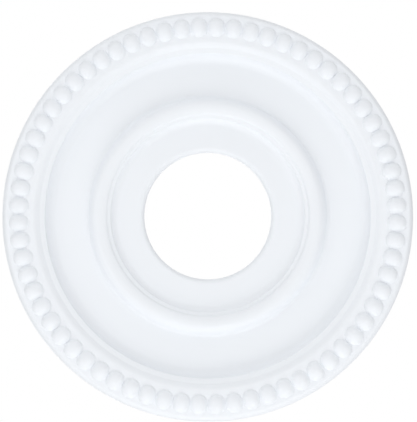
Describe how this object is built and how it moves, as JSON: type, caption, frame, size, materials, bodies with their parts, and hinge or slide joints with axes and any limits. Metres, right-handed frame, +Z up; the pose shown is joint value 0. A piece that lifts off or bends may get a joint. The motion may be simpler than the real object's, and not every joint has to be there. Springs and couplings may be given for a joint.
{
  "type": "ceiling rose",
  "caption": "Round moulded ceiling rose with a beaded rim, a raised inner ring and a central hole for a light fitting.",
  "frame": {"origin": "on the rose's axis, in the plane of its flat back, which is the ceiling's surface", "axes": "+Z up into the ceiling along the rose's axis; the relief points down, towards -Z; +X and +Y lie in the ceiling plane through gaps between beads"},
  "size_m": [0.328, 0.328, 0.0232],
  "materials": {
    "painted_casting": "smooth matte white primer paint over a moulded casting"
  },
  "bodies": {
    "root": {"rose": "painted_casting"}
  },
  "joints": []
}
